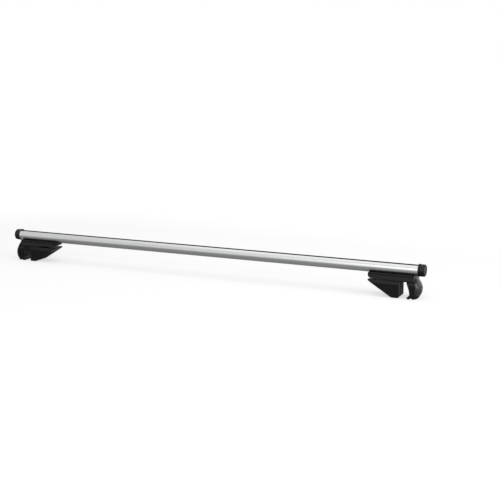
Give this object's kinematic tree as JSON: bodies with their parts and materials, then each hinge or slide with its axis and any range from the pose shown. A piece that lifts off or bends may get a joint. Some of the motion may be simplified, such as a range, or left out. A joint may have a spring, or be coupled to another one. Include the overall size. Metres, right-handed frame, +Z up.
{
  "type": "roof rack crossbar",
  "caption": "Round aluminium roof rack crossbar with a rubber-topped slot, end caps and lockable clamping feet for raised side rails.",
  "frame": {"origin": "on the plane under the hooks' toes, below the middle of the bar", "axes": "+X along the bar to its right end, +Z up, +Y towards the far side in the picture"},
  "size_m": [1.32, 0.055, 0.094],
  "materials": {
    "bar_aluminium": "satin anodised, drawn lengthwise",
    "rubber": "matt black rubber",
    "cap_plastic": "matt black plastic",
    "foot_plastic": "fine-grained black glass-filled nylon",
    "cover_plastic": "satin black plastic",
    "zinc_steel": "zinc plated",
    "lock_metal": "satin chrome"
  },
  "bodies": {
    "frame": {"bar_extrusion": "bar_aluminium", "rubber_strip": "rubber", "right_end_cap": "cap_plastic", "left_end_cap": "cap_plastic", "right_foot_base": "foot_plastic", "right_hook_pad": "rubber", "right_tee_bolts": "zinc_steel", "right_flange_nuts": "zinc_steel", "right_screw_washer": "zinc_steel", "right_hinge_pin": "zinc_steel", "left_foot_base": "foot_plastic", "left_hook_pad": "rubber", "left_tee_bolts": "zinc_steel", "left_flange_nuts": "zinc_steel", "left_screw_washer": "zinc_steel", "left_hinge_pin": "zinc_steel"},
    "right_screw_body": {"right_clamp_screw": "zinc_steel", "right_screw_clip": "zinc_steel"},
    "right_jaw_body": {"right_jaw": "foot_plastic", "right_jaw_pad": "rubber", "right_jaw_nut": "zinc_steel"},
    "right_cover_body": {"right_cover": "cover_plastic", "right_lock_housing": "cover_plastic"},
    "right_lock_body": {"right_lock_plug": "lock_metal", "right_lock_cam": "zinc_steel", "right_cam_screw": "zinc_steel"},
    "left_screw_body": {"left_clamp_screw": "zinc_steel", "left_screw_clip": "zinc_steel"},
    "left_jaw_body": {"left_jaw": "foot_plastic", "left_jaw_pad": "rubber", "left_jaw_nut": "zinc_steel"},
    "left_cover_body": {"left_cover": "cover_plastic", "left_lock_housing": "cover_plastic"},
    "left_lock_body": {"left_lock_plug": "lock_metal", "left_lock_cam": "zinc_steel", "left_cam_screw": "zinc_steel"}
  },
  "joints": [
    {"name": "right_clamp_turn", "type": "hinge", "parent": "frame", "child": "right_screw_body", "pos_m": [0.615, 0, 0.049], "axis": [-1, 0, 0], "range_deg": [-4325, 6485]},
    {"name": "right_jaw_slide", "type": "slide", "parent": "frame", "child": "right_jaw_body", "axis": [1, 0, 0], "range_m": [-0.012, 0.018]},
    {"name": "right_cover_swing", "type": "hinge", "parent": "frame", "child": "right_cover_body", "pos_m": [0.64336, 0, 0.008], "axis": [0, 1, 0], "range_deg": [0, 85]},
    {"name": "right_lock_turn", "type": "hinge", "parent": "right_cover_body", "child": "right_lock_body", "pos_m": [0.645, 0, 0.026], "axis": [1, 0, 0], "range_deg": [0, 90]},
    {"name": "left_clamp_turn", "type": "hinge", "parent": "frame", "child": "left_screw_body", "pos_m": [-0.615, 0, 0.049], "axis": [1, 0, 0], "range_deg": [-4325, 6485]},
    {"name": "left_jaw_slide", "type": "slide", "parent": "frame", "child": "left_jaw_body", "axis": [-1, 0, 0], "range_m": [-0.012, 0.018]},
    {"name": "left_cover_swing", "type": "hinge", "parent": "frame", "child": "left_cover_body", "pos_m": [-0.64336, 0, 0.008], "axis": [0, -1, 0], "range_deg": [0, 85]},
    {"name": "left_lock_turn", "type": "hinge", "parent": "left_cover_body", "child": "left_lock_body", "pos_m": [-0.645, 0, 0.026], "axis": [-1, 0, 0], "range_deg": [0, 90]}
  ],
  "couplings": [
    {"joint": "right_clamp_turn", "follows": "right_jaw_slide", "rad_per_m": 6283.2},
    {"joint": "left_clamp_turn", "follows": "left_jaw_slide", "rad_per_m": 6283.2}
  ]
}
